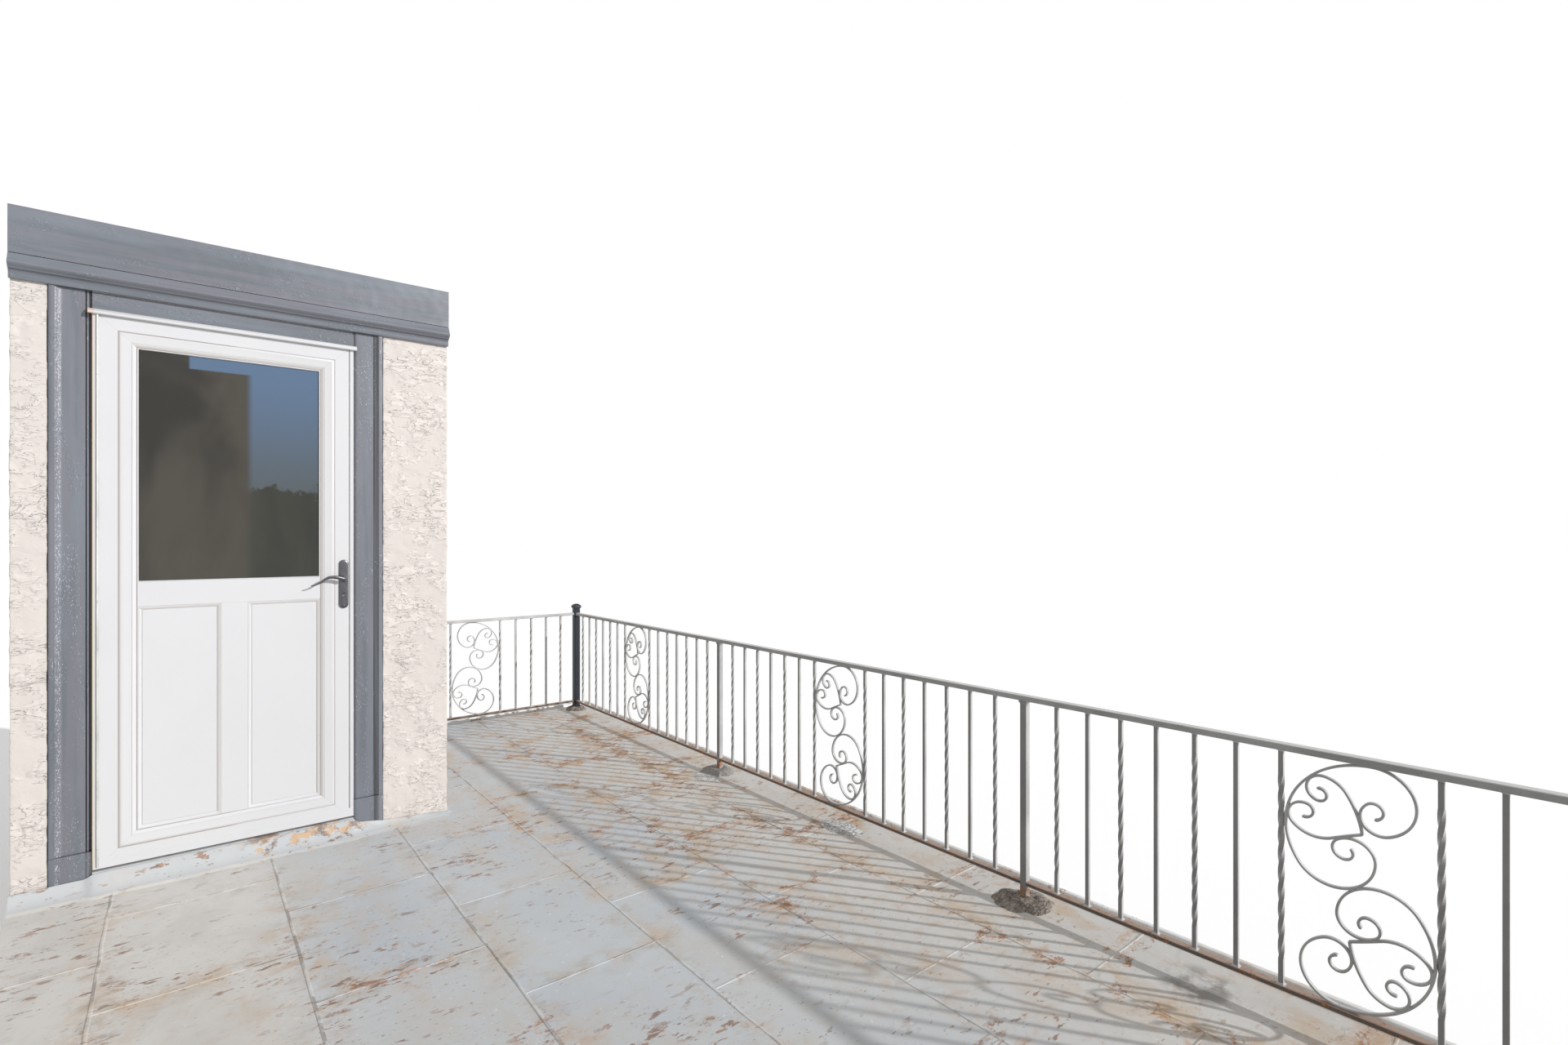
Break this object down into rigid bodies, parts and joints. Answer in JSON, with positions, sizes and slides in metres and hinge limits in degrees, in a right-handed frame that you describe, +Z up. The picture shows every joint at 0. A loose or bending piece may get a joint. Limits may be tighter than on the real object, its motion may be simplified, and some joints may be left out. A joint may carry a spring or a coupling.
{
  "type": "walk-out roof balcony with door and railing",
  "caption": "Walk-out balcony on a flat metal roof, guarded on the open sides by a scrolled iron railing, with a half-glazed white storm door in a stucco wall.",
  "frame": {"origin": "middle of the footprint, on the level that the joists and walls stand on", "axes": "+X along the front railing to the far corner post, +Y from the front railing to the house, +Z up"},
  "size_m": [6.1996, 3.015, 2.725],
  "materials": {
    "deck_wood": "rough sawn softwood",
    "roof_metal": "worn pale blue-grey paint with rust stains",
    "trim_paint": "thick grey-blue gloss paint",
    "post_paint": "weathered dark grey paint",
    "rail_paint": "weathered grey paint, worn bright on the edges",
    "rusty_rail": "grey paint with brown rust",
    "roof_cement": "dry cracked roofing cement",
    "stucco": "skip-trowelled stucco, off-white paint",
    "door_white": "white baked enamel",
    "sill_metal": "mill finish, dull",
    "door_glass": "clear glass before a dark room",
    "nickel": "satin nickel"
  },
  "bodies": {
    "root": {"joists_main": "deck_wood", "joists_wing": "deck_wood", "ledgers": "deck_wood", "deck_boards_main": "deck_wood", "deck_boards_wing": "deck_wood", "roof_sheets": "roof_metal", "kerb_front": "roof_metal", "kerb_far": "roof_metal", "kerb_near": "roof_metal", "fascia_front": "trim_paint", "fascia_far": "trim_paint", "fascia_near": "trim_paint", "casing_outer": "trim_paint", "casing_inner": "trim_paint", "casing_head": "trim_paint", "moulding": "trim_paint", "frieze": "trim_paint", "corner_post_far": "post_paint", "corner_post_near": "post_paint", "line_posts_front": "rail_paint", "line_post_near": "rail_paint", "top_rail_front": "rail_paint", "top_rail_far": "rail_paint", "top_rail_near": "rail_paint", "wall_plates": "rail_paint", "plain_pickets_front": "rail_paint", "plain_pickets_far": "rail_paint", "plain_pickets_near": "rail_paint", "twisted_pickets_front": "rail_paint", "twisted_pickets_far": "rail_paint", "twisted_pickets_near": "rail_paint", "scrolls_front": "rail_paint", "scroll_far": "rail_paint", "scrolls_near": "rail_paint", "bottom_rail_front": "rusty_rail", "bottom_rail_far": "rusty_rail", "bottom_rail_near": "rusty_rail", "post_cement": "roof_cement", "wall_corner_pier": "stucco", "wall_inner_pier": "stucco", "wall_head": "stucco", "wall_sill": "stucco", "wall_side": "stucco", "door_frame": "door_white", "door_leaf": "door_white", "glazing_beads": "door_white", "threshold": "sill_metal", "hinge_bar": "sill_metal", "door_glass": "door_glass", "lever_plate": "nickel", "door_lever": "nickel"}
  },
  "joints": []
}
